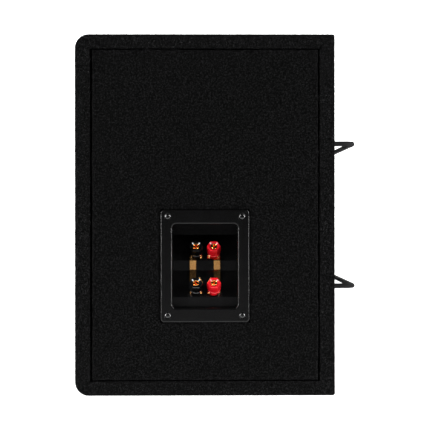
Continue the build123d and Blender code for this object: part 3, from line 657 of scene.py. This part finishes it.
def braid(name, path, radius):
    """A braided lead along a path, its strands seen as a twisted surface.

    It runs from the cabinet at start to the cone at end."""
    path = np.array(path)
    fine = []
    for k in range(len(path) - 1):
        p0, p1 = path[max(k - 1, 0)], path[k]
        p2, p3 = path[k + 1], path[min(k + 2, len(path) - 1)]
        for i in range(24):
            t = i / 24
            spline = 2 * p1 + (p2 - p0) * t + (2 * p0 - 5 * p1 + 4 * p2 - p3) * t**2
            fine.append(0.5 * (spline + (3 * p1 - p0 - 3 * p2 + p3) * t**3))
    fine = np.array(fine + [path[-1]])
    ahead = np.gradient(fine, axis=0)
    ahead /= np.linalg.norm(ahead, axis=1)[:, None]
    side = np.cross(ahead, (0, 0, 1.0))
    side /= np.linalg.norm(side, axis=1)[:, None]
    over = np.cross(ahead, side)
    turn = np.linspace(0, 2 * math.pi, 12, endpoint=False)[None, :]
    twist = np.arange(len(fine))[:, None] * 0.9
    swell = radius * (0.88 + 0.12 * np.cos(3 * turn + twist) * np.cos(3 * turn - twist))
    round_path = side[:, None] * np.cos(turn)[..., None] + over[:, None] * np.sin(turn)[..., None]
    points = fine[:, None, :] + round_path * swell[..., None]
    obj = new_mesh(name, points.reshape(-1, 3), grid_faces(len(fine), 12, True), MATERIALS["copper"])
    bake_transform(obj)
    return obj


leads = []
for across in (-24, -16, 16, 24):
    route = [
        (-112.5, -98.8, across),
        (-102, -98, across),
        (-92, -95.5, across),
        (-76, -92, across * 0.9),
        (-62, -89, across * 0.8),
        (-40, -86.5, across * 0.62),
        (-33, -86.5, across * 0.55),
    ]
    path = [(x * MM, y * MM, woofer_z + z * MM) for x, y, z in route]
    leads.append(braid(f"tinsel_lead_{len(leads) + 1}", path, 0.7 * MM))
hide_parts("tinsel_leads")

# ================================================================ studio
scene = bpy.context.scene
scene.view_settings.view_transform = "Standard"
world = bpy.data.worlds.new("studio")
scene.world = world
world.use_nodes = True
world.node_tree.nodes["Background"].inputs[0].default_value = (0.95, 0.97, 1.0, 1)
world.node_tree.nodes["Background"].inputs[1].default_value = 0.05


def emitter(name, strength, fade=None):
    """White paper that also glows; fade = (x where the glow is gone, x where it is full), and the paper's
    colour darkens with the glow as painted shade.
    """
    m = Nodes(name)
    m.constant(Base_Color=(0.85, 0.85, 0.85, 1), Roughness=0.9, Emission_Strength=strength)
    m.shader.inputs["Emission Color"].default_value = (1, 1, 1, 1)
    if fade:
        split = m.tree.nodes.new("ShaderNodeSeparateXYZ")
        m.link(m.place, split.inputs[0])
        glow = m.tree.nodes.new("ShaderNodeMapRange")
        glow.inputs["From Min"].default_value, glow.inputs["From Max"].default_value = fade
        glow.inputs["To Max"].default_value = strength
        m.link(split.outputs[0], glow.inputs[0])
        m.link(glow.outputs[0], m.shader.inputs["Emission Strength"])
        # Painted shade: the paper's colour greys where the glow fades.
        m.colour(m.ramp(glow.outputs[0], [(0.0, grey(0.3)), (0.9 * strength, grey(0.85))]))
    return m.material


def stage_plane(name, corners, material):
    new_mesh(name, corners, [(0, 1, 2, 3)], material, smooth=False)


far = 3.0
wall = 0.8 * far
# The floor stops glowing and greys towards the camera, a painted shade, so the cup's glossy recess has no
# bright floor to mirror.
stage_plane(
    "floor",
    [(-far, -far, 0), (far, -far, 0), (far, far, 0), (-far, far, 0)],
    emitter("floor_paper", 0.85, (-0.52, -0.425)),
)
stage_plane(
    "backdrop",
    [(wall, far, -1), (wall, -far, -1), (wall, -far, 2 * far), (wall, far, 2 * far)],
    emitter("backdrop_paper", 1.0),
)


def softbox(name, place, target, size, power):
    light = bpy.data.lights.new(name, "AREA")
    light.shape = "RECTANGLE"
    light.size, light.size_y = size
    light.energy = power
    obj = bpy.data.objects.new(name, light)
    obj.location = place
    aim = Vector(target) - Vector(place)
    obj.rotation_euler = aim.to_track_quat("-Z", "Y").to_euler()
    scene.collection.objects.link(obj)


middle = (0, 0, woofer_z)
end_middle = (-half_width, 0, woofer_z)
# Side boxes light the cup's upright bevels, upper boxes the caps' dished faces, and the card the gold links.
softbox("left_softbox", (-1.0, 1.15, 0.4), end_middle, (0.1, 1.0), 22)
softbox("right_softbox", (-1.0, -1.15, 0.4), end_middle, (0.1, 1.0), 22)
softbox("upper_left_softbox", (-1.25, 0.75, 0.95), end_middle, (0.22, 0.22), 4)
softbox("upper_right_softbox", (-1.25, -0.75, 0.95), end_middle, (0.22, 0.22), 4)
softbox("rear_left_softbox", (0.9, 1.6, 0.9), middle, (0.8, 1.2), 14)
softbox("rear_right_softbox", (0.9, -1.6, 0.9), middle, (0.8, 1.2), 14)
softbox("front_card", (-1.62, 0, 0.075), (0, 0, 0.12), (0.09, 0.07), 0.016)

# ---------------------------------------------------------------- camera
# Level with the middle of the box, square on to the end panel and a little to the rear of its centre.
camera_data = bpy.data.cameras.new("camera")
camera = bpy.data.objects.new("camera", camera_data)
scene.collection.objects.link(camera)
camera_data.sensor_width = 36
camera_data.lens = 103.4
camera_data.clip_end = 20
camera_distance = 1.3
camera_place = Vector((-half_width - camera_distance, 0.0027, 0.1912))
yaw, pitch, roll = -0.0102, -0.0006, -0.0008
forward = Vector((math.cos(yaw) * math.cos(pitch), math.sin(yaw) * math.cos(pitch), math.sin(pitch)))
right = forward.cross(Vector((0, 0, 1))).normalized()
up = right.cross(forward)
level = Matrix((right, up, -forward)).transposed()
turned = (level @ Matrix.Rotation(roll, 3, "Z")).to_4x4()
camera.matrix_world = Matrix.Translation(camera_place) @ turned
scene.camera = camera
